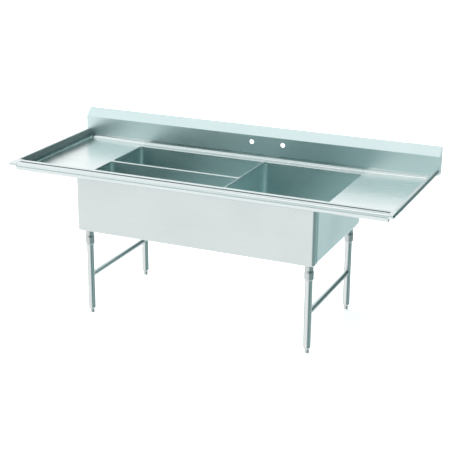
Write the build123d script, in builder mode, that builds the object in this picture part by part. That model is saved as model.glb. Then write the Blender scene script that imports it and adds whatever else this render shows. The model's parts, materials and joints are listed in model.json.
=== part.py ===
from build123d import *
import os

os.makedirs("parts", exist_ok=True)

# Commercial sink in bent stainless sheet: two long compartments side by side on the left,
# one deep square compartment on the right, a drainboard at each end, a splash along the back
# and four tube legs. Millimetres, origin on the floor under the middle, +Z up, front at -Y.

# ---- driving dimensions ----
LENGTH = 2335.0
DEPTH = 967.0
RIM_TOP = 914.0
SPLASH_TOP = 1048.0
SPLASH_BEND = 992.0
SPLASH_FACE_FROM_FRONT = 911.0
SHEET = 2.0
BEND_RADIUS = 3.0
RIM_BEND_RADIUS = 6.0

TUB_LEFT = -746.0
TUB_RIGHT = 724.0
TUB_FRONT_FROM_FRONT = 82.0
TUB_REAR_FROM_FRONT = 866.0
TUB_BOTTOM = 538.0
DECK_TOP = 848.0
SEAM = 880.0
CROSS_DIVIDER_X = 98.0
CROSS_DIVIDER_WIDTH = 10.0
LONG_DIVIDER_FROM_FRONT = 488.0
LONG_DIVIDER_WIDTH = 16.0
BOWL_CORNER_RADIUS = 25.0
BOWL_COVE_RADIUS = 20.0
LIP_DEPTH = 7.0
LIP_RADIUS = 4.0

BOARD_RISE = 8.0
BOARD_COVE_RADIUS = 20.0
SIDE_RIM_WIDTH = 28.0
CORNER_LENGTH_LEFT = 54.0
CORNER_LENGTH_RIGHT = 34.0
NOSE_DROP = 17.0
NOSE_RADIUS = 12.0
LEDGE_FRONT_FROM_FRONT = 872.0

APRON_FACE_FROM_FRONT = 57.0
APRON_RETURN = 22.5
APRON_BOTTOM = 536.0
APRON_TOP = 900.0
APRON_END_RADIUS = 20.0
APRON_EDGE_RADIUS = 12.0

FAUCET_HOLE_RADIUS = 14.3
FAUCET_SPACING = 203.2
FAUCET_Z = 951.0

LEG_INSET_X = 48.0
LEG_FRONT_FROM_FRONT = 118.0
LEG_REAR_FROM_FRONT = 806.0
LEG_RADIUS = 20.65
LEG_WALL = 1.6
LEG_BOTTOM = 38.4
LEG_TOP = 531.0
SOCKET_BOTTOM = 440.0
SOCKET_FIT = 0.1
PLATE_THICKNESS = 3.0
PLATE_SIZE = 76.0
SET_SCREW_RADIUS = 3.0
SET_SCREW_Z = 462.0

BRACE_Z = 243.0
BRACE_RADIUS = 15.9
BRACE_WALL = 1.6

FOOT_CONE_TOP = 38.0
FOOT_CONE_BOTTOM = 26.0
FOOT_RADIUS = 12.5
FOOT_SHOULDER_RADIUS = 20.2
FOOT_TIP_RADIUS = 6.0
STEM_RADIUS = 8.0
STEM_TOP = 90.0
STEM_FIT = 0.08
STEM_CHAMFER = 1.0
FOOT_EDGE = 2.0
INSERT_LENGTH = 40.0

DRAIN_HOLE_RADIUS = 44.5
DRAIN_FLANGE_RADIUS = 57.0
DRAIN_FLANGE_THICKNESS = 2.5
DRAIN_FLANGE_CHAMFER = 2.0
DRAIN_CUP_TAPER = 6.0
DRAIN_CUP_RADIUS = 43.0
DRAIN_CUP_WALL = 1.8
DRAIN_CUP_BOTTOM = 500.0
DRAIN_LEDGE_RADIUS = 37.5
DRAIN_OUTLET_RADIUS = 24.15
DRAIN_OUTLET_BORE = 19.5
DRAIN_OUTLET_BOTTOM = 465.0
BASKET_RADIUS = 36.0
BASKET_RIM_RADIUS = 40.0
BASKET_WALL = 1.0
BASKET_HEIGHT = 30.0
BASKET_CORNER = 4.0
BASKET_SEAT_DEPTH = 6.0
BASKET_HOLE_RADIUS = 2.2
BASKET_RINGS = ((13.0, 8), (25.0, 16))

# ---- places worked out from them ----
FRONT = -DEPTH / 2
BACK = DEPTH / 2
LEFT = -LENGTH / 2
RIGHT = LENGTH / 2
HALF_SHEET = SHEET / 2
TUB_FRONT = FRONT + TUB_FRONT_FROM_FRONT
TUB_REAR = FRONT + TUB_REAR_FROM_FRONT
SPLASH_FACE = FRONT + SPLASH_FACE_FROM_FRONT
APRON_FACE = FRONT + APRON_FACE_FROM_FRONT
LONG_DIVIDER = FRONT + LONG_DIVIDER_FROM_FRONT
LEDGE_FRONT = FRONT + LEDGE_FRONT_FROM_FRONT
LEG_FRONT = FRONT + LEG_FRONT_FROM_FRONT
LEG_REAR = FRONT + LEG_REAR_FROM_FRONT
TUB_FLOOR = TUB_BOTTOM + SHEET
RIM_MID = RIM_TOP - HALF_SHEET
SPLASH_MID = SPLASH_FACE + HALF_SHEET

LEFT_MOUTH_X = (TUB_LEFT + SHEET, CROSS_DIVIDER_X - CROSS_DIVIDER_WIDTH / 2)
RIGHT_MOUTH_X = (CROSS_DIVIDER_X + CROSS_DIVIDER_WIDTH / 2, TUB_RIGHT - SHEET)
FRONT_MOUTH_Y = (TUB_FRONT + SHEET, LONG_DIVIDER - LONG_DIVIDER_WIDTH / 2)
REAR_MOUTH_Y = (LONG_DIVIDER + LONG_DIVIDER_WIDTH / 2, TUB_REAR - SHEET)
FULL_MOUTH_Y = (TUB_FRONT + SHEET, TUB_REAR - SHEET)

# Each compartment's mouth: name, x range, y range.
COMPARTMENTS = [
    ("front_left", LEFT_MOUTH_X, FRONT_MOUTH_Y),
    ("rear_left", LEFT_MOUTH_X, REAR_MOUTH_Y),
    ("right", RIGHT_MOUTH_X, FULL_MOUTH_Y),
]

LEGS = [
    ("front_left", TUB_LEFT + LEG_INSET_X, LEG_FRONT),
    ("front_right", TUB_RIGHT - LEG_INSET_X, LEG_FRONT),
    ("rear_left", TUB_LEFT + LEG_INSET_X, LEG_REAR),
    ("rear_right", TUB_RIGHT - LEG_INSET_X, LEG_REAR),
]

SIDES = [("left", LEFT, 1), ("right", RIGHT, -1)]


def middle(pair):
    return (pair[0] + pair[1]) / 2


def span(pair):
    return pair[1] - pair[0]


def save(builder, name):
    """Label a finished piece and write it as its own node."""
    builder.part.label = name
    export_step(builder.part, f"parts/{name}.step")


# ---- compartments ----
def make_bowl(name, x_range, y_range):
    """Open bowl with round vertical corners, a coved floor and a drain hole."""
    centre = (middle(x_range), middle(y_range))
    with BuildPart() as bowl:
        with BuildSketch(Plane.XY.offset(TUB_BOTTOM)):
            with Locations(centre):
                RectangleRounded(
                    span(x_range) + 2 * SHEET, span(y_range) + 2 * SHEET, BOWL_CORNER_RADIUS + SHEET
                )
        extrude(amount=DECK_TOP - LIP_DEPTH - TUB_BOTTOM)
        fillet(bowl.faces().sort_by(Axis.Z)[0].edges(), BOWL_COVE_RADIUS)
        offset(amount=-SHEET, openings=bowl.faces().sort_by(Axis.Z)[-1])
        with Locations((*centre, TUB_FLOOR)):
            Hole(DRAIN_HOLE_RADIUS)
    save(bowl, f"bowl_{name}")


for compartment in COMPARTMENTS:
    make_bowl(*compartment)

# Deck that joins the three mouths and caps both dividers, with round lips and the front upstand.
# Its blank is oversize while the lips are rounded, then trimmed to the compartments' outline.
TUB_MIDDLE_X = middle((TUB_LEFT, TUB_RIGHT))
TUB_WIDTH = TUB_RIGHT - TUB_LEFT
with BuildPart() as bowl_deck:
    with BuildSketch(Plane.XY.offset(DECK_TOP - LIP_DEPTH)):
        with Locations((TUB_MIDDLE_X, middle((TUB_FRONT - LIP_DEPTH, LEDGE_FRONT)))):
            Rectangle(TUB_WIDTH + 2 * LIP_DEPTH, LEDGE_FRONT - TUB_FRONT + LIP_DEPTH)
        for _, mouth_x, mouth_y in COMPARTMENTS:
            with Locations((middle(mouth_x), middle(mouth_y))):
                RectangleRounded(span(mouth_x), span(mouth_y), BOWL_CORNER_RADIUS, mode=Mode.SUBTRACT)
    extrude(amount=LIP_DEPTH)
    mouth_wires = bowl_deck.faces().sort_by(Axis.Z)[-1].inner_wires()
    fillet([edge for wire in mouth_wires for edge in wire.edges()], LIP_RADIUS)
    with BuildSketch(Plane.XY.offset(DECK_TOP - LIP_DEPTH)):
        with Locations((TUB_MIDDLE_X, middle((TUB_FRONT, LEDGE_FRONT)))):
            Rectangle(TUB_WIDTH, LEDGE_FRONT - TUB_FRONT)
    extrude(amount=LIP_DEPTH, mode=Mode.INTERSECT)
    with BuildSketch(Plane.XY.offset(DECK_TOP - LIP_DEPTH)):
        with Locations((TUB_MIDDLE_X, TUB_FRONT + HALF_SHEET)):
            Rectangle(TUB_WIDTH, SHEET)
    extrude(amount=SEAM - DECK_TOP + LIP_DEPTH)
save(bowl_deck, "bowl_deck")

# Narrow ledge behind the compartments that sweeps up into the splash.
with BuildPart() as rear_ledge:
    with BuildSketch(Plane.YZ.offset(TUB_LEFT)):
        with BuildLine():
            FilletPolyline(
                (LEDGE_FRONT, DECK_TOP - HALF_SHEET),
                (SPLASH_MID, DECK_TOP - HALF_SHEET),
                (SPLASH_MID, SEAM),
                radius=BOARD_COVE_RADIUS,
            )
        trace(line_width=SHEET)
    extrude(amount=TUB_RIGHT - TUB_LEFT)
save(rear_ledge, "rear_ledge")

# Front apron: a shallow pan of its own, its side and bottom edges turned back.
with BuildPart() as front_apron:
    with BuildSketch(Plane.XY.offset(APRON_BOTTOM)):
        with Locations((middle((TUB_LEFT, TUB_RIGHT)), APRON_FACE + APRON_RETURN / 2)):
            Rectangle(TUB_RIGHT - TUB_LEFT, APRON_RETURN)
    extrude(amount=APRON_TOP - APRON_BOTTOM)
    fillet(front_apron.edges().filter_by(Axis.Z).group_by(Axis.Y)[0], APRON_END_RADIUS)
    bottom_edges = front_apron.faces().sort_by(Axis.Z)[0].edges()
    fillet(bottom_edges - [bottom_edges.sort_by(Axis.Y)[-1]], APRON_EDGE_RADIUS)
    offset(
        amount=-SHEET,
        openings=[front_apron.faces().sort_by(Axis.Y)[-1], front_apron.faces().sort_by(Axis.Z)[-1]],
    )
save(front_apron, "front_apron")

# Spot-welded clips that hold the apron off the compartments' front walls.
CLIP_WIDTH = 40.0
CLIP_INSET = 150.0
CLIP_Z = 700.0
CLIP_XS = [
    TUB_LEFT + CLIP_INSET,
    CROSS_DIVIDER_X - CLIP_INSET - CLIP_WIDTH,
    CROSS_DIVIDER_X + CLIP_INSET,
    TUB_RIGHT - CLIP_INSET - CLIP_WIDTH,
]
with BuildPart() as apron_clips:
    for clip_x in CLIP_XS:
        with BuildSketch(Plane.YZ.offset(clip_x)):
            with BuildLine():
                FilletPolyline(
                    (APRON_FACE + SHEET + HALF_SHEET, CLIP_Z),
                    (APRON_FACE + SHEET + HALF_SHEET, CLIP_Z + CLIP_WIDTH),
                    (TUB_FRONT - HALF_SHEET, CLIP_Z + CLIP_WIDTH),
                    (TUB_FRONT - HALF_SHEET, CLIP_Z),
                    radius=BEND_RADIUS,
                )
            trace(line_width=SHEET)
        extrude(amount=CLIP_WIDTH)
save(apron_clips, "apron_clips")


# ---- drainboards and rims ----
def board_floor(x, side):
    """Height of a drainboard's floor: it falls from the outer end towards the compartments."""
    inner = TUB_LEFT if side == 1 else TUB_RIGHT
    outer = LEFT + SIDE_RIM_WIDTH if side == 1 else RIGHT - SIDE_RIM_WIDTH
    return DECK_TOP + BOARD_RISE * (x - inner) / (outer - inner)


def make_drainboard(name, edge, side):
    """Sloping tray, open towards the compartments, coved along its other three sides."""
    inner = TUB_LEFT if side == 1 else TUB_RIGHT
    outer = edge + side * SIDE_RIM_WIDTH
    with BuildPart() as hollow:
        with BuildSketch(Plane.XZ.offset(-(TUB_FRONT + SHEET))):
            with BuildLine():
                Polyline(
                    (inner, DECK_TOP),
                    (outer, DECK_TOP + BOARD_RISE),
                    (outer, SEAM + SHEET),
                    (inner, SEAM + SHEET),
                    close=True,
                )
            make_face()
        extrude(amount=-(SPLASH_FACE - TUB_FRONT - SHEET))
        floor_edges = hollow.faces().sort_by(Axis.Z)[0].edges()
        mouth_edge = floor_edges.sort_by(Axis.X)[-1 if side == 1 else 0]
        fillet(floor_edges - [mouth_edge], BOARD_COVE_RADIUS)
    with BuildPart() as board:
        with BuildSketch(Plane.XZ.offset(-TUB_FRONT)):
            with BuildLine():
                Polyline(
                    (inner, DECK_TOP - SHEET),
                    (outer - side * SHEET, DECK_TOP + BOARD_RISE - SHEET),
                    (outer - side * SHEET, SEAM),
                    (inner, SEAM),
                    close=True,
                )
            make_face()
        extrude(amount=-(SPLASH_FACE + SHEET - TUB_FRONT))
        floor_edges = board.faces().sort_by(Axis.Z)[0].edges()
        mouth_edge = floor_edges.sort_by(Axis.X)[-1 if side == 1 else 0]
        fillet(floor_edges - [mouth_edge], BOARD_COVE_RADIUS + SHEET)
        add(hollow.part, mode=Mode.SUBTRACT)
    save(board, f"drainboard_{name}")


for side_name, side_edge, side_sign in SIDES:
    make_drainboard(side_name, side_edge, side_sign)


def make_side_rim(name, edge, side):
    """Raised end rim: inner wall, flat top and a turned-down round nose."""
    with BuildPart() as rim:
        with BuildSketch(Plane.XZ.offset(-(TUB_FRONT + SHEET))):
            with BuildLine():
                FilletPolyline(
                    (edge + side * HALF_SHEET, RIM_TOP - NOSE_DROP),
                    (edge + side * HALF_SHEET, RIM_MID),
                    (edge + side * (SIDE_RIM_WIDTH - HALF_SHEET), RIM_MID),
                    (edge + side * (SIDE_RIM_WIDTH - HALF_SHEET), SEAM),
                    radius=[NOSE_RADIUS, RIM_BEND_RADIUS],
                )
            trace(line_width=SHEET)
        extrude(amount=-(SPLASH_FACE - TUB_FRONT - SHEET))
    save(rim, f"side_rim_{name}")


for side_name, side_edge, side_sign in SIDES:
    make_side_rim(side_name, side_edge, side_sign)

# Rolled front rim: hooked hem, round nose, shallow gutter, flat land and inner wall.
HEM_BOTTOM = 868.0
HEM_WIDTH = 31.0
HEM_RETURN = 12.0
HEM_RADIUS = 7.0
ROLL_RADIUS = 21.0
ROLL_WIDTH = 34.0
ROLL_REAR_RADIUS = 8.0
GUTTER_DEPTH = 9.0
GUTTER_FLOOR = (43.0, 53.0)
LAND_FRONT = 56.0
LAND_RADIUS = 2.5
with BuildPart() as front_rim:
    with BuildSketch(Plane.YZ.offset(LEFT + CORNER_LENGTH_LEFT)):
        with BuildLine():
            FilletPolyline(
                (FRONT + HEM_WIDTH, HEM_BOTTOM + HALF_SHEET + HEM_RETURN),
                (FRONT + HEM_WIDTH, HEM_BOTTOM + HALF_SHEET),
                (FRONT + HALF_SHEET, HEM_BOTTOM + HALF_SHEET),
                (FRONT + HALF_SHEET, RIM_MID),
                (FRONT + ROLL_WIDTH, RIM_MID),
                (FRONT + GUTTER_FLOOR[0], RIM_MID - GUTTER_DEPTH),
                (FRONT + GUTTER_FLOOR[1], RIM_MID - GUTTER_DEPTH),
                (FRONT + LAND_FRONT, RIM_MID),
                (TUB_FRONT + HALF_SHEET, RIM_MID),
                (TUB_FRONT + HALF_SHEET, SEAM),
                radius=[
                    HEM_RADIUS,
                    ROLL_RADIUS,
                    ROLL_RADIUS,
                    ROLL_REAR_RADIUS,
                    BEND_RADIUS,
                    LAND_RADIUS,
                    BEND_RADIUS,
                    RIM_BEND_RADIUS,
                ],
            )
        trace(line_width=SHEET)
    extrude(amount=LENGTH - CORNER_LENGTH_LEFT - CORNER_LENGTH_RIGHT)
save(front_rim, "front_rim")


def make_rim_corner(name, edge, side):
    """Pressed corner cap that carries the nose round from the front rim to the end rim."""
    length = CORNER_LENGTH_LEFT if side == 1 else CORNER_LENGTH_RIGHT
    x_middle = edge + side * length / 2
    y_length = TUB_FRONT_FROM_FRONT + SHEET
    with BuildPart() as corner:
        with BuildSketch(Plane.XY.offset(RIM_TOP - NOSE_DROP)):
            with Locations((x_middle, FRONT + y_length / 2)):
                Rectangle(length, y_length)
        extrude(amount=NOSE_DROP)
        front_uprights = corner.edges().filter_by(Axis.Z).group_by(Axis.Y)[0]
        fillet(front_uprights.sort_by(Axis.X)[0 if side == 1 else -1], NOSE_RADIUS)
        top_rim = corner.faces().sort_by(Axis.Z)[-1].edges()
        inner_edges = [top_rim.sort_by(Axis.Y)[-1], top_rim.sort_by(Axis.X)[-1 if side == 1 else 0]]
        fillet(top_rim - inner_edges, NOSE_RADIUS - HALF_SHEET)
        open_faces = [
            corner.faces().sort_by(Axis.Z)[0],
            corner.faces().sort_by(Axis.Y)[-1],
            corner.faces().sort_by(Axis.X)[-1 if side == 1 else 0],
        ]
        offset(amount=-SHEET, openings=open_faces)
        wall_length = length - SIDE_RIM_WIDTH + SHEET
        with BuildSketch(Plane.XY.offset(SEAM)):
            with Locations((edge + side * (length - wall_length / 2), TUB_FRONT + HALF_SHEET)):
                Rectangle(wall_length, SHEET)
        extrude(amount=RIM_TOP - SEAM)
    save(corner, f"rim_corner_{name}")


for side_name, side_edge, side_sign in SIDES:
    make_rim_corner(side_name, side_edge, side_sign)

# ---- splash ----
SPLASH_RETURN = 26.0
with BuildPart() as backsplash:
    with BuildSketch(Plane.YZ.offset(LEFT + SHEET)):
        with BuildLine():
            FilletPolyline(
                (SPLASH_MID, SEAM),
                (SPLASH_MID, SPLASH_BEND),
                (BACK - HALF_SHEET, SPLASH_TOP - HALF_SHEET),
                (BACK - HALF_SHEET, SPLASH_TOP - SPLASH_RETURN),
                radius=BEND_RADIUS,
            )
        trace(line_width=SHEET)
    extrude(amount=LENGTH - 2 * SHEET)
    with Locations(Plane.XZ.offset(-SPLASH_FACE)):
        with Locations(
            (CROSS_DIVIDER_X - FAUCET_SPACING / 2, FAUCET_Z),
            (CROSS_DIVIDER_X + FAUCET_SPACING / 2, FAUCET_Z),
        ):
            Hole(FAUCET_HOLE_RADIUS, depth=4 * SHEET)
save(backsplash, "backsplash")

for side_name, side_edge, side_sign in SIDES:
    with BuildPart() as end_cap:
        with BuildSketch(Plane.YZ.offset(side_edge if side_sign == 1 else side_edge - SHEET)):
            with BuildLine():
                Polyline(
                    (SPLASH_FACE, SEAM),
                    (SPLASH_FACE, SPLASH_BEND),
                    (BACK, SPLASH_TOP),
                    (BACK, SEAM),
                    close=True,
                )
            make_face()
        extrude(amount=SHEET)
    save(end_cap, f"splash_end_cap_{side_name}")

# Stiffening channels welded under the drainboards.
CHANNEL_WIDTH = 50.0
CHANNEL_HEIGHT = 14.0
CHANNEL_GAP = 0.05
CHANNEL_INSET = 30.0
for side_name, side_edge, side_sign in SIDES:
    channel_x = middle((side_edge, TUB_LEFT if side_sign == 1 else TUB_RIGHT))
    channel_top = board_floor(channel_x + side_sign * CHANNEL_WIDTH / 2, side_sign) - SHEET - HALF_SHEET
    channel_top -= CHANNEL_GAP
    with BuildPart() as channel:
        with BuildSketch(Plane.XZ.offset(-(TUB_FRONT + CHANNEL_INSET))):
            with BuildLine():
                FilletPolyline(
                    (channel_x - CHANNEL_WIDTH / 2, channel_top),
                    (channel_x - CHANNEL_WIDTH / 4, channel_top),
                    (channel_x - CHANNEL_WIDTH / 4, channel_top - CHANNEL_HEIGHT),
                    (channel_x + CHANNEL_WIDTH / 4, channel_top - CHANNEL_HEIGHT),
                    (channel_x + CHANNEL_WIDTH / 4, channel_top),
                    (channel_x + CHANNEL_WIDTH / 2, channel_top),
                    radius=BEND_RADIUS,
                )
            trace(line_width=SHEET)
        extrude(amount=-(SPLASH_FACE - TUB_FRONT - 2 * CHANNEL_INSET))
    save(channel, f"drainboard_channel_{side_name}")

# ---- legs ----
SOCKET_NECK_RADIUS = 23.6
SOCKET_BELLY_RADIUS = 26.4
SOCKET_BELLY_TOP = 492.0
SOCKET_CHAMFER = 6.0
SOCKET_TOP = TUB_BOTTOM - PLATE_THICKNESS


def make_leg(name, x, y):
    """Mounting plate, socket, tube, threaded insert and bullet foot of one leg."""
    with BuildPart() as plate:
        with BuildSketch(Plane.XY.offset(SOCKET_TOP)):
            with Locations((x, y)):
                Rectangle(PLATE_SIZE, PLATE_SIZE)
        extrude(amount=PLATE_THICKNESS)
        chamfer(plate.edges().filter_by(Axis.Z), PLATE_SIZE / 6)
    save(plate, f"leg_plate_{name}")

    section = Plane(origin=(x, y, 0), x_dir=(1, 0, 0), z_dir=(0, -1, 0))
    bore = LEG_RADIUS + SOCKET_FIT
    with BuildPart() as socket:
        with BuildSketch(section):
            with BuildLine():
                Polyline(
                    (0, SOCKET_TOP),
                    (SOCKET_NECK_RADIUS, SOCKET_TOP),
                    (SOCKET_NECK_RADIUS, SOCKET_BELLY_TOP + SOCKET_CHAMFER),
                    (SOCKET_BELLY_RADIUS, SOCKET_BELLY_TOP - SOCKET_CHAMFER),
                    (SOCKET_BELLY_RADIUS, SOCKET_BOTTOM + SOCKET_CHAMFER),
                    (bore + SHEET / 4, SOCKET_BOTTOM),
                    (bore, SOCKET_BOTTOM),
                    (bore, LEG_TOP),
                    (0, LEG_TOP),
                    close=True,
                )
            make_face()
        revolve(axis=Axis((x, y, 0), (0, 0, 1)))
        with BuildSketch(Plane.XZ.offset(-y)):
            with Locations((x, SET_SCREW_Z)):
                Circle(SET_SCREW_RADIUS)
        extrude(amount=-(SOCKET_BELLY_RADIUS + SHEET), mode=Mode.SUBTRACT)
    save(socket, f"leg_socket_{name}")

    with BuildPart() as tube:
        with BuildSketch(Plane.XY.offset(LEG_BOTTOM)):
            with Locations((x, y)):
                Circle(LEG_RADIUS)
                Circle(LEG_RADIUS - LEG_WALL, mode=Mode.SUBTRACT)
        extrude(amount=LEG_TOP - LEG_BOTTOM)
    save(tube, f"leg_tube_{name}")

    with BuildPart() as insert:
        with BuildSketch(Plane.XY.offset(LEG_BOTTOM)):
            with Locations((x, y)):
                Circle(LEG_RADIUS - LEG_WALL)
                Circle(STEM_RADIUS + STEM_FIT, mode=Mode.SUBTRACT)
        extrude(amount=INSERT_LENGTH)
    save(insert, f"foot_insert_{name}")

    with BuildPart() as foot:
        with BuildSketch(section):
            with BuildLine():
                outline = Polyline(
                    (0, STEM_TOP),
                    (STEM_RADIUS - STEM_CHAMFER, STEM_TOP),
                    (STEM_RADIUS, STEM_TOP - STEM_CHAMFER),
                    (STEM_RADIUS, FOOT_CONE_TOP),
                    (FOOT_SHOULDER_RADIUS, FOOT_CONE_TOP),
                    (FOOT_SHOULDER_RADIUS, FOOT_CONE_TOP - FOOT_EDGE),
                    (FOOT_RADIUS, FOOT_CONE_BOTTOM),
                    (FOOT_RADIUS, FOOT_TIP_RADIUS),
                )
                TangentArc(
                    outline @ 1, (FOOT_RADIUS - FOOT_TIP_RADIUS, 0), tangent=(0, -1)
                )
                Line((FOOT_RADIUS - FOOT_TIP_RADIUS, 0), (0, 0))
                Line((0, 0), (0, STEM_TOP))
            make_face()
        revolve(axis=Axis((x, y, 0), (0, 0, 1)))
    save(foot, f"bullet_foot_{name}")


for leg in LEGS:
    make_leg(*leg)

# One set screw locks each tube in its socket, from the back.
SET_SCREW_LENGTH = SOCKET_BELLY_RADIUS - LEG_RADIUS + SHEET
with BuildPart() as socket_set_screws:
    for _, leg_x, leg_y in LEGS:
        with BuildSketch(Plane.XZ.offset(-(leg_y + LEG_RADIUS))):
            with Locations((leg_x, SET_SCREW_Z)):
                Circle(SET_SCREW_RADIUS)
        extrude(amount=-SET_SCREW_LENGTH)
save(socket_set_screws, "socket_set_screws")

for side_name, brace_x in (("left", TUB_LEFT + LEG_INSET_X), ("right", TUB_RIGHT - LEG_INSET_X)):
    with BuildPart() as brace:
        with BuildSketch(Plane.XZ.offset(-LEG_FRONT)):
            with Locations((brace_x, BRACE_Z)):
                Circle(BRACE_RADIUS)
                Circle(BRACE_RADIUS - BRACE_WALL, mode=Mode.SUBTRACT)
        extrude(amount=-(LEG_REAR - LEG_FRONT))
        with BuildSketch(Plane.XY.offset(BRACE_Z - 2 * BRACE_RADIUS)):
            with Locations((brace_x, LEG_FRONT), (brace_x, LEG_REAR)):
                Circle(LEG_RADIUS)
        extrude(amount=4 * BRACE_RADIUS, mode=Mode.SUBTRACT)
    save(brace, f"cross_brace_{side_name}")

# ---- drains ----
NUT_RADIUS = 54.0
NUT_CORNER = 2.0
NUT_SIDES = 8
NUT_HEIGHT = 9.0
GASKET_THICKNESS = 3.0
BASKET_BOTTOM = TUB_FLOOR + DRAIN_FLANGE_THICKNESS - BASKET_HEIGHT - BASKET_SEAT_DEPTH
BASKET_GAP = 0.2
KNOB_RADIUS = 7.0
KNOB_STEM_RADIUS = 3.0
KNOB_THICKNESS = 4.0
KNOB_TAPER = 3.0


def make_drain(name, x_range, y_range):
    """Strainer body, sealing gasket, locknut and lift-out basket of one compartment."""
    x = middle(x_range)
    y = middle(y_range)
    section = Plane(origin=(x, y, 0), x_dir=(1, 0, 0), z_dir=(0, -1, 0))
    flange_top = TUB_FLOOR + DRAIN_FLANGE_THICKNESS
    knob_top = BASKET_BOTTOM + BASKET_HEIGHT + KNOB_THICKNESS
    cup_inside = DRAIN_CUP_RADIUS - DRAIN_CUP_WALL
    basket_ledge = BASKET_BOTTOM + BASKET_HEIGHT - BASKET_WALL - BASKET_GAP
    with BuildPart() as body:
        with BuildSketch(section):
            with BuildLine():
                Polyline(
                    (cup_inside, flange_top - DRAIN_FLANGE_CHAMFER / 2),
                    (cup_inside + DRAIN_FLANGE_CHAMFER, flange_top),
                    (DRAIN_FLANGE_RADIUS - DRAIN_FLANGE_CHAMFER, flange_top),
                    (DRAIN_FLANGE_RADIUS, TUB_FLOOR),
                    (DRAIN_CUP_RADIUS, TUB_FLOOR),
                    (DRAIN_CUP_RADIUS, DRAIN_CUP_BOTTOM),
                    (DRAIN_OUTLET_RADIUS, DRAIN_CUP_BOTTOM - DRAIN_CUP_TAPER),
                    (DRAIN_OUTLET_RADIUS, DRAIN_OUTLET_BOTTOM),
                    (DRAIN_OUTLET_BORE, DRAIN_OUTLET_BOTTOM),
                    (DRAIN_OUTLET_BORE, DRAIN_CUP_BOTTOM - DRAIN_CUP_TAPER + DRAIN_CUP_WALL),
                    (DRAIN_LEDGE_RADIUS, DRAIN_CUP_BOTTOM + DRAIN_CUP_WALL),
                    (DRAIN_LEDGE_RADIUS, basket_ledge),
                    (cup_inside, basket_ledge),
                    close=True,
                )
            make_face()
        revolve(axis=Axis((x, y, 0), (0, 0, 1)))
    save(body, f"drain_body_{name}")

    with BuildPart() as gasket:
        with BuildSketch(Plane.XY.offset(TUB_BOTTOM - GASKET_THICKNESS)):
            with Locations((x, y)):
                Circle(NUT_RADIUS)
                Circle(DRAIN_CUP_RADIUS, mode=Mode.SUBTRACT)
        extrude(amount=GASKET_THICKNESS)
    save(gasket, f"drain_gasket_{name}")

    with BuildPart() as nut:
        with BuildSketch(Plane.XY.offset(TUB_BOTTOM - GASKET_THICKNESS - NUT_HEIGHT)):
            with Locations((x, y)):
                RegularPolygon(NUT_RADIUS + NUT_CORNER, NUT_SIDES)
                Circle(DRAIN_CUP_RADIUS, mode=Mode.SUBTRACT)
        extrude(amount=NUT_HEIGHT)
    save(nut, f"drain_locknut_{name}")

    with BuildPart() as basket:
        with BuildSketch(section):
            with BuildLine():
                Polyline(
                    (0, BASKET_BOTTOM),
                    (BASKET_RADIUS - BASKET_CORNER, BASKET_BOTTOM),
                    (BASKET_RADIUS, BASKET_BOTTOM + BASKET_CORNER),
                    (BASKET_RADIUS, BASKET_BOTTOM + BASKET_HEIGHT - BASKET_WALL),
                    (BASKET_RIM_RADIUS, BASKET_BOTTOM + BASKET_HEIGHT - BASKET_WALL),
                    (BASKET_RIM_RADIUS, BASKET_BOTTOM + BASKET_HEIGHT),
                    (BASKET_RADIUS - BASKET_WALL, BASKET_BOTTOM + BASKET_HEIGHT),
                    (BASKET_RADIUS - BASKET_WALL, BASKET_BOTTOM + BASKET_CORNER),
                    (BASKET_RADIUS - BASKET_CORNER, BASKET_BOTTOM + BASKET_WALL),
                    (KNOB_STEM_RADIUS, BASKET_BOTTOM + BASKET_WALL),
                    (KNOB_STEM_RADIUS, knob_top - KNOB_THICKNESS - KNOB_TAPER),
                    (KNOB_RADIUS, knob_top - KNOB_THICKNESS),
                    (KNOB_RADIUS, knob_top),
                    (0, knob_top),
                    close=True,
                )
            make_face()
        revolve(axis=Axis((x, y, 0), (0, 0, 1)))
        with Locations((x, y, BASKET_BOTTOM + BASKET_WALL)):
            for ring_radius, ring_count in BASKET_RINGS:
                with PolarLocations(ring_radius, ring_count):
                    Hole(BASKET_HOLE_RADIUS, depth=2 * BASKET_WALL)
    save(basket, f"strainer_basket_{name}")


for compartment in COMPARTMENTS:
    make_drain(*compartment)
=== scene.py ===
import json
import math

import bpy
from mathutils import Matrix, Vector


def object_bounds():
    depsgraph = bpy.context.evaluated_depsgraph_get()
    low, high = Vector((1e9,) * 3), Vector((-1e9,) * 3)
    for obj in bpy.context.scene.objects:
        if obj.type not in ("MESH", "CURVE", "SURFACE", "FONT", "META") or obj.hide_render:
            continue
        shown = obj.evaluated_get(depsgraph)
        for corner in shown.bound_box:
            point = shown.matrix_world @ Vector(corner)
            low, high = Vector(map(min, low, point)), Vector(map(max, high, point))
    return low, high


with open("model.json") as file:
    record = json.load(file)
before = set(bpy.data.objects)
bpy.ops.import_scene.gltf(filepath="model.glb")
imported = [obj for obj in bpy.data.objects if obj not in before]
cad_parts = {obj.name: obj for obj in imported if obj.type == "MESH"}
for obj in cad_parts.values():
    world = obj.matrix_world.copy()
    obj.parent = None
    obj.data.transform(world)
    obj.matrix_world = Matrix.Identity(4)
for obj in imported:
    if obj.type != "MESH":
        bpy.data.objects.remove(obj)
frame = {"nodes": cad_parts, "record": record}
CAD_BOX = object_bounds()

# ---- camera ----
CAMERA_AZIMUTH = math.radians(23.9)
CAMERA_ELEVATION = math.radians(18.95)
CAMERA_ROLL = math.radians(0.4)
CAMERA_PLACE = (2.655, -5.9685, 2.787)
CAMERA_LENS_MM = 93.2
CAMERA_SENSOR_MM = 36
CAMERA_REACH = 200


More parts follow.
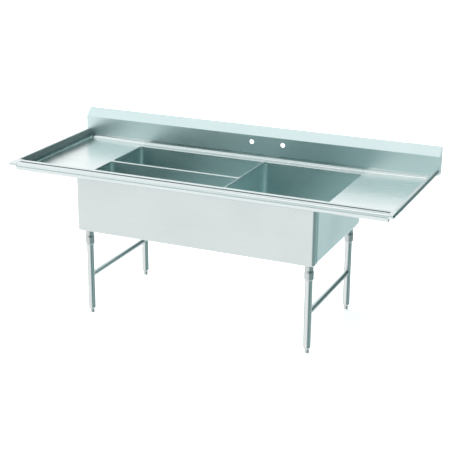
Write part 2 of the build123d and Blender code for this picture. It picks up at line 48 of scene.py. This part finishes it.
def make_camera():
    """Long lens from the front right, a little above the rim."""
    back = Vector((
        math.sin(CAMERA_AZIMUTH) * math.cos(CAMERA_ELEVATION),
        -math.cos(CAMERA_AZIMUTH) * math.cos(CAMERA_ELEVATION),
        math.sin(CAMERA_ELEVATION),
    ))
    level = Vector((math.cos(CAMERA_AZIMUTH), math.sin(CAMERA_AZIMUTH), 0))
    above = back.cross(level)
    right = level * math.cos(CAMERA_ROLL) + above * math.sin(CAMERA_ROLL)
    up = back.cross(right)
    data = bpy.data.cameras.new("camera")
    data.lens = CAMERA_LENS_MM
    data.sensor_width = CAMERA_SENSOR_MM
    data.clip_end = CAMERA_REACH
    camera = bpy.data.objects.new("camera", data)
    turn = Matrix((right, up, back)).transposed().to_4x4()
    camera.matrix_world = Matrix.Translation(CAMERA_PLACE) @ turn
    bpy.context.scene.collection.objects.link(camera)
    bpy.context.scene.camera = camera


# ---- small node helpers ----
class Nodes:
    """A node tree with short calls for adding and joining nodes."""

    def __init__(self, tree):
        self.tree = tree
        self.tree.nodes.clear()

    def add(self, kind, **settings):
        node = self.tree.nodes.new(kind)
        for name, value in settings.items():
            setattr(node, name, value)
        return node

    def join(self, source, target):
        self.tree.links.new(source, target)

    def math(self, operation, a, b=None):
        node = self.add("ShaderNodeMath", operation=operation)
        for socket, value in zip(node.inputs, (a, b)):
            if value is None:
                continue
            if isinstance(value, (int, float)):
                socket.default_value = value
            else:
                self.join(value, socket)
        return node.outputs[0]

    def dot(self, vector, direction):
        node = self.add("ShaderNodeVectorMath", operation="DOT_PRODUCT")
        self.join(vector, node.inputs[0])
        node.inputs[1].default_value = direction
        return node.outputs["Value"]

    def ramp(self, value, low, high, to_low=0.0, to_high=1.0, smooth=True):
        kind = "SMOOTHSTEP" if smooth else "LINEAR"
        node = self.add("ShaderNodeMapRange", interpolation_type=kind)
        self.join(value, node.inputs["Value"])
        node.inputs["From Min"].default_value = low
        node.inputs["From Max"].default_value = high
        node.inputs["To Min"].default_value = to_low
        node.inputs["To Max"].default_value = to_high
        return node.outputs["Result"]

    def fall(self, value, low, high):
        """Smooth step down from 1 to 0."""
        return self.ramp(value, low, high, 1.0, 0.0)

    def mix(self, factor, first, second):
        node = self.add("ShaderNodeMix", data_type="RGBA")
        if isinstance(factor, (int, float)):
            node.inputs["Factor"].default_value = factor
        else:
            self.join(factor, node.inputs["Factor"])
        for socket, value in ((node.inputs[6], first), (node.inputs[7], second)):
            if isinstance(value, tuple):
                socket.default_value = (*value, 1.0)
            else:
                self.join(value, socket)
        return node.outputs[2]

    def noise(self, vector, scale, detail=2.0, roughness=0.5):
        node = self.add("ShaderNodeTexNoise")
        self.join(vector, node.inputs["Vector"])
        node.inputs["Scale"].default_value = scale
        node.inputs["Detail"].default_value = detail
        node.inputs["Roughness"].default_value = roughness
        return node.outputs["Fac"]

    def stretch(self, vector, scale):
        node = self.add("ShaderNodeMapping")
        self.join(vector, node.inputs["Vector"])
        node.inputs["Scale"].default_value = scale
        return node.outputs["Vector"]


# ---- studio ----
# The steel mirrors this room. Its level is worked out from the direction (x, y, z) alone and
# starts at 1 all round; each dark part takes a depth away from a share of it. A spot is a soft
# round patch: the direction of its middle, then roughly the cosines of the angles from there at
# which it fades to nothing and at which it is full. HORIZON is the soft step from the lower part
# of the room to the upper. Darker parts lean towards teal, as red falls off faster.
WORLD_STRENGTH = 1.1
RED_FALLOFF = 1.36
LOWEST_LEVEL = 0.015
HORIZON = (-0.16, 0.08)
BEHIND_CAMERA = ((0.46, -0.86, 0.20), 0.84, 0.97)
BACK_RIGHT = ((0.60, 0.76, 0.22), 0.60, 0.84)
FRONT_UPPER = ((-0.10, -0.95, 0.30), 0.80, 0.98)
FRONT_RIGHT_LOW = ((0.62, -0.71, -0.33), 0.86, 0.97)
BACK_LEFT_LOW = ((-0.80, 0.50, -0.33), 0.90, 0.98)
ZENITH = (0.90, 0.98)
ZENITH_GAIN = 2.8


def make_world():
    """Soft studio seen in the steel."""
    world = bpy.data.worlds.new("studio")
    world.use_nodes = True
    bpy.context.scene.world = world
    n = Nodes(world.node_tree)
    direction = n.add("ShaderNodeTexCoord").outputs["Generated"]
    parts = n.add("ShaderNodeSeparateXYZ")
    n.join(direction, parts.inputs[0])
    x, y, z = parts.outputs
    upper = n.ramp(z, *HORIZON)
    lower = n.fall(z, *HORIZON)

    def dim(share, depth, where=None):
        """Level left after taking a depth away from a share of the room."""
        if where is not None:
            share = n.math("MULTIPLY", share, where)
        return n.math("SUBTRACT", 1.0, n.math("MULTIPLY", share, depth))

    def spot(middle, start, full):
        return n.ramp(n.dot(direction, middle), start, full)

    low_back_right = n.math("MULTIPLY", n.ramp(x, 0.22, 0.36), n.ramp(y, 0.2, 0.6))
    horizon_band = n.math("MULTIPLY", n.ramp(z, -0.14, 0.02), n.fall(z, 0.10, 0.26))
    in_front = n.fall(y, -0.88, -0.60)
    right_of_ceiling = n.math("MULTIPLY", n.ramp(z, 0.50, 0.75), n.ramp(x, -0.55, -0.10))
    right_side = n.ramp(x, 0.08, 0.55)
    far_right = n.ramp(x, 0.45, 0.92)
    shares = [
        dim(spot(*BEHIND_CAMERA), 0.92, upper),
        dim(spot(*BACK_RIGHT), 0.76, upper),
        dim(spot(*FRONT_UPPER), 0.12, upper),
        dim(spot(*FRONT_RIGHT_LOW), 0.62, lower),
        dim(low_back_right, 0.52, lower),
        dim(spot(*BACK_LEFT_LOW), 0.40, lower),
        dim(horizon_band, 0.62, in_front),
        dim(right_side, 0.90, upper),
        dim(far_right, 0.60, lower),
        dim(right_of_ceiling, 0.55),
    ]
    level = shares[0]
    for share in shares[1:]:
        level = n.math("MULTIPLY", level, share)
    level = n.math("MAXIMUM", level, LOWEST_LEVEL)
    level = n.math("MULTIPLY", level, n.ramp(z, *ZENITH, 1.0, ZENITH_GAIN))
    colour = n.add("ShaderNodeCombineColor")
    n.join(n.math("POWER", level, RED_FALLOFF), colour.inputs[0])
    n.join(level, colour.inputs[1])
    n.join(level, colour.inputs[2])
    background = n.add("ShaderNodeBackground")
    n.join(colour.outputs[0], background.inputs["Color"])
    background.inputs["Strength"].default_value = WORLD_STRENGTH
    output = n.add("ShaderNodeOutputWorld")
    n.join(background.outputs[0], output.inputs["Surface"])


FLOOR_HALF = 40.0
FLOOR_GLOW = 0.6


def make_floor():
    """Plain pale studio floor, kept out of the steel's reflections."""
    corners = [(x * FLOOR_HALF, y * FLOOR_HALF, 0) for x, y in ((-1, -1), (1, -1), (1, 1), (-1, 1))]
    mesh = bpy.data.meshes.new("floor")
    mesh.from_pydata(corners, [], [(0, 1, 2, 3)])
    floor = bpy.data.objects.new("floor", mesh)
    floor.visible_glossy = False
    bpy.context.scene.collection.objects.link(floor)
    material = bpy.data.materials.new("floor_paper")
    material.use_nodes = True
    n = Nodes(material.node_tree)
    shader = n.add("ShaderNodeBsdfPrincipled")
    shader.inputs["Base Color"].default_value = (0.94, 0.945, 0.945, 1)
    shader.inputs["Roughness"].default_value = 0.9
    shader.inputs["Specular IOR Level"].default_value = 0.1
    shader.inputs["Emission Color"].default_value = (1.0, 1.0, 1.0, 1)
    shader.inputs["Emission Strength"].default_value = FLOOR_GLOW
    output = n.add("ShaderNodeOutputMaterial")
    n.join(shader.outputs[0], output.inputs["Surface"])
    mesh.materials.append(material)


SUN_ENERGY = 2.2
SUN_SPREAD = math.radians(60)
SUN_TURN = (math.radians(18), 0, math.radians(-25))


def make_light():
    """Broad top light for the floor; the steel is lit by the studio around it."""
    data = bpy.data.lights.new("top", "SUN")
    data.energy = SUN_ENERGY
    data.angle = SUN_SPREAD
    top = bpy.data.objects.new("top", data)
    top.rotation_euler = SUN_TURN
    top.visible_glossy = False
    bpy.context.scene.collection.objects.link(top)


# ---- materials ----
# How finely the noise varies, per metre, for thin grain lines and for wide bands that run along
# each axis.
ALONG = {"x": (4.0, 900.0, 900.0), "y": (900.0, 4.0, 900.0), "z": (900.0, 900.0, 4.0)}
BANDS = {"x": (0.8, 30.0, 30.0), "y": (30.0, 0.8, 30.0), "z": (60.0, 60.0, 0.8)}
NOISE_RANGE = (0.3, 0.7)
GRAIN_ROUGHNESS = 0.04
CLOUD_ROUGHNESS = 0.03
HANDLING_ROUGHNESS = 0.03
GRAIN_BUMP = 0.25

# Painted shade: the groove behind the rolled front rim is painted darker than the rest of the rim,
# standing in for the shade in the groove. It lies between these depths, and the painted shade fades
# out over an edge at each side and below the rim's top.
FRONT_EDGE = CAD_BOX[0][1]
GROOVE_FRONT = FRONT_EDGE + 0.047
GROOVE_REAR = FRONT_EDGE + 0.060
GROOVE_BELOW_RIM = 0.001
GROOVE_EDGE = 0.002
GROOVE_PAINTED_SHADE = (0.10, 0.15, 0.15)


def top_of(node):
    """Height of a node's highest point."""
    return max((node.matrix_world @ Vector(corner)).z for corner in node.bound_box)


def paint_groove_shade(n, place, paint):
    """The paint with the groove's painted shade mixed in."""
    spot = n.add("ShaderNodeSeparateXYZ")
    n.join(place, spot.inputs[0])
    depth = spot.outputs["Y"]
    across = n.math("MULTIPLY", n.ramp(depth, GROOVE_FRONT, GROOVE_FRONT + GROOVE_EDGE),
                    n.fall(depth, GROOVE_REAR - GROOVE_EDGE, GROOVE_REAR))
    top = top_of(frame["nodes"]["front_rim"]) - GROOVE_BELOW_RIM
    below = n.fall(spot.outputs["Z"], top - GROOVE_EDGE, top)
    return n.mix(n.math("MULTIPLY", across, below), paint, GROOVE_PAINTED_SHADE)


def brushed(name, colour, roughness, axes="xy", streak=0.05, band=0.3, grain=0.00002, groove=False):
    """Brushed metal: fine lines along the first axis, or the second on faces that look along X."""
    material = bpy.data.materials.new(name)
    material.use_nodes = True
    n = Nodes(material.node_tree)
    place = n.add("ShaderNodeTexCoord").outputs["Object"]
    normal = n.add("ShaderNodeNewGeometry").outputs["Normal"]
    parts = n.add("ShaderNodeSeparateXYZ")
    n.join(normal, parts.inputs[0])
    facing_x = n.ramp(n.math("ABSOLUTE", parts.outputs["X"]), 0.65, 0.75, smooth=False)

    def by_face(scales, detail, unevenness):
        mixed = n.add("ShaderNodeMix", data_type="FLOAT")
        n.join(facing_x, mixed.inputs["Factor"])
        for axis, socket in zip(axes, (mixed.inputs[2], mixed.inputs[3])):
            n.join(n.noise(n.stretch(place, scales[axis]), 1.0, detail, unevenness), socket)
        return mixed.outputs[0]

    line = by_face(ALONG, 3.0, 0.6)
    wide = by_face(BANDS, 2.0, 0.5)
    cloud = n.noise(place, 3.0, 3.0)
    handling = n.noise(place, 14.0, 4.0, 0.6)
    light = tuple(min(1.0, c * (1 + streak)) for c in colour)
    dark = tuple(c * (1 - streak) for c in colour)
    tone = n.math("ADD", n.math("MULTIPLY", line, 1.0 - band), n.math("MULTIPLY", wide, band))
    shader = n.add("ShaderNodeBsdfPrincipled")
    paint = n.mix(n.ramp(tone, *NOISE_RANGE), dark, light)
    # Painted shade in the groove behind the front rim, where the steel would be in shade.
    if groove:
        paint = paint_groove_shade(n, place, paint)
    n.join(paint, shader.inputs["Base Color"])
    shader.inputs["Metallic"].default_value = 1.0
    grained = n.ramp(line, *NOISE_RANGE, roughness - GRAIN_ROUGHNESS, roughness + GRAIN_ROUGHNESS)
    clouded = n.ramp(cloud, *NOISE_RANGE, -CLOUD_ROUGHNESS, CLOUD_ROUGHNESS)
    handled = n.ramp(handling, 0.45, 0.75, 0.0, HANDLING_ROUGHNESS)
    n.join(n.math("ADD", n.math("ADD", grained, clouded), handled), shader.inputs["Roughness"])
    bump = n.add("ShaderNodeBump")
    bump.inputs["Strength"].default_value = GRAIN_BUMP
    bump.inputs["Distance"].default_value = grain
    n.join(line, bump.inputs["Height"])
    n.join(bump.outputs[0], shader.inputs["Normal"])
    output = n.add("ShaderNodeOutputMaterial")
    n.join(shader.outputs[0], output.inputs["Surface"])
    return material


RUBBER_DARK = (0.02, 0.02, 0.02)
RUBBER_BLOOM = (0.05, 0.05, 0.05)


def rubber(name):
    """Matt black sealing rubber with a faint bloom."""
    material = bpy.data.materials.new(name)
    material.use_nodes = True
    n = Nodes(material.node_tree)
    place = n.add("ShaderNodeTexCoord").outputs["Object"]
    bloom = n.noise(place, 180.0, 4.0)
    shader = n.add("ShaderNodeBsdfPrincipled")
    paint = n.mix(n.ramp(bloom, 0.4, 0.7), RUBBER_DARK, RUBBER_BLOOM)
    n.join(paint, shader.inputs["Base Color"])
    n.join(n.ramp(bloom, *NOISE_RANGE, 0.6, 0.8), shader.inputs["Roughness"])
    output = n.add("ShaderNodeOutputMaterial")
    n.join(shader.outputs[0], output.inputs["Surface"])
    return material


STEEL = (0.735, 0.80, 0.80)

make_camera()
make_world()
make_floor()
make_light()

MATERIALS = {
    # The bowls' colour is a lighter, teal-tinted copy of the steel, painted light standing in for
    # the teal light bounced inside the bowls.
    "bowl_sheet": brushed("bowl_sheet", (0.76, 0.90, 0.90), 0.36, band=0.2, streak=0.03),
    "deck_sheet": brushed("deck_sheet", STEEL, 0.26),
    "drainboard_sheet": brushed("drainboard_sheet", (0.82, 0.885, 0.88), 0.24, axes="xx", band=0.2),
    # The apron's colour is a darker copy of the steel, painted shade that tones down its bright
    # reflection.
    "apron_sheet": brushed("apron_sheet", (0.69, 0.74, 0.74), 0.33, band=0.1, streak=0.03),
    # The rim sheet carries the painted shade in the groove behind the front rim.
    "rim_sheet": brushed("rim_sheet", STEEL, 0.25, band=0.1, groove=True),
    # The end rims' colour is a lighter copy of the rim steel, a painted highlight that brightens
    # the side rims.
    "end_rim_sheet": brushed("end_rim_sheet", (0.84, 0.88, 0.88), 0.46, axes="yy", band=0.1),
    # The splash's colour is a teal-tinted copy of the steel, painted light standing in for the teal
    # light it picks up.
    "splash_sheet": brushed("splash_sheet", (0.74, 0.875, 0.88), 0.38, band=0.15, streak=0.03),
    "channel_sheet": brushed("channel_sheet", (0.66, 0.68, 0.68), 0.42, axes="yy"),
    "leg_steel": brushed("leg_tube", (0.72, 0.75, 0.745), 0.22, axes="zz", band=0.5),
    "brace_steel": brushed("brace_tube", (0.80, 0.84, 0.84), 0.40, axes="yy", band=0.5),
    "socket_steel": brushed("cast_socket", (0.62, 0.65, 0.645), 0.34, axes="zz", grain=0.00006),
    "foot_steel": brushed("turned_foot", (0.66, 0.68, 0.68), 0.26, axes="xx"),
    "insert_steel": brushed("turned_insert", (0.55, 0.56, 0.56), 0.36, axes="zz"),
    "screw_steel": brushed("machined_screw", (0.45, 0.45, 0.46), 0.35, axes="yy"),
    "drain_steel": brushed("polished_drain", (0.80, 0.82, 0.82), 0.14, streak=0.02),
    "basket_steel": brushed("polished_basket", (0.78, 0.80, 0.80), 0.18, streak=0.02),
    "locknut_brass": brushed("cast_brass", (0.72, 0.56, 0.28), 0.38, grain=0.00008),
    "gasket_rubber": rubber("seal_rubber"),
}
# Nodes with these beginnings look unlike the rest of their slot; for the side rims that includes a
# lighter colour, a painted highlight.
OWN_MATERIALS = {"cross_brace": "brace_steel", "side_rim": "end_rim_sheet"}
for subpart in frame["record"]["subparts"]:
    node = frame["nodes"][subpart["node"]]
    material = MATERIALS[subpart["material_slot"]]
    for beginning, own in OWN_MATERIALS.items():
        if subpart["node"].startswith(beginning):
            material = MATERIALS[own]
    node.data.materials.clear()
    node.data.materials.append(material)

bpy.context.scene.view_settings.view_transform = "Standard"
